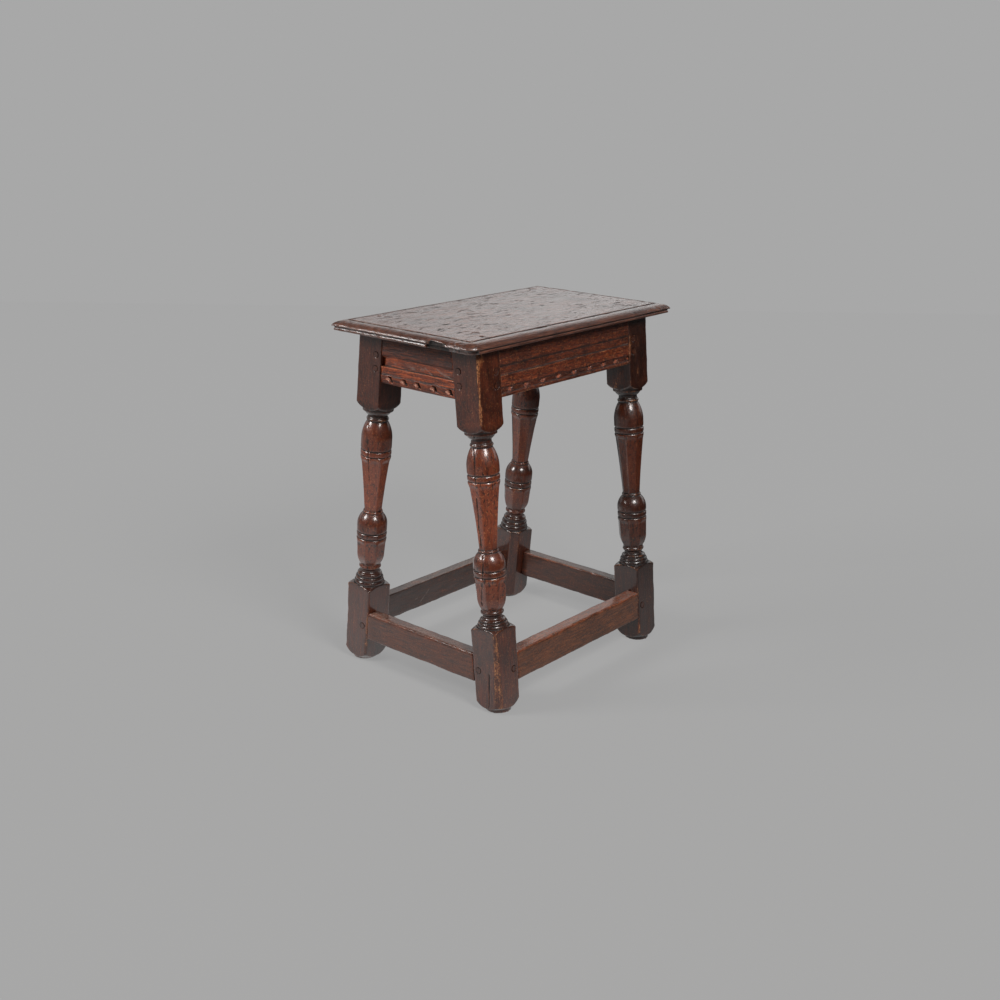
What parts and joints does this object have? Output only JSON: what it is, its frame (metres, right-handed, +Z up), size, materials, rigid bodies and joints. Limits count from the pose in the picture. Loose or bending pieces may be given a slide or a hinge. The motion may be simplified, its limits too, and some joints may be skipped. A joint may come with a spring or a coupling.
{
  "type": "joint stool",
  "caption": "Oak joint stool: pegged seat board with a thumbnail edge on turned and faceted legs, joined by moulded, nicked rails and plain stretchers with pegged mortise and tenon joints.",
  "frame": {"origin": "centre of the stool's bounding box, at floor level, where the feet stand", "axes": "+Z up from the floor; +X along the seat's length, towards the right as seen from the front; +Y across the seat, towards the back. The worn, rounded corner of the seat is at front left (-X, -Y). The legs lean outwards along Y only."},
  "size_m": [0.4716, 0.3282, 0.55],
  "materials": {
    "seat": "dark oak, worn and waxed",
    "leg": "dark red-brown oak, waxed to a gloss",
    "rail": "dark red-brown oak, waxed, dusty in the hollows",
    "stretcher": "dark oak, orange and bare on the worn edges",
    "peg": "dark oak end grain, waxed over"
  },
  "bodies": {
    "root": {"leg_back_left": "leg", "leg_back_right": "leg", "leg_front_left": "leg", "leg_front_right": "leg", "pegs_rail_back": "peg", "pegs_rail_front": "peg", "pegs_rail_left": "peg", "pegs_rail_right": "peg", "pegs_stretcher_back": "peg", "pegs_stretcher_front": "peg", "pegs_stretcher_left": "peg", "pegs_stretcher_right": "peg", "rail_back": "rail", "rail_front": "rail", "rail_left": "rail", "rail_right": "rail", "seat_board": "seat", "seat_pegs": "peg", "stretcher_back": "stretcher", "stretcher_front": "stretcher", "stretcher_left": "stretcher", "stretcher_right": "stretcher"}
  },
  "joints": []
}
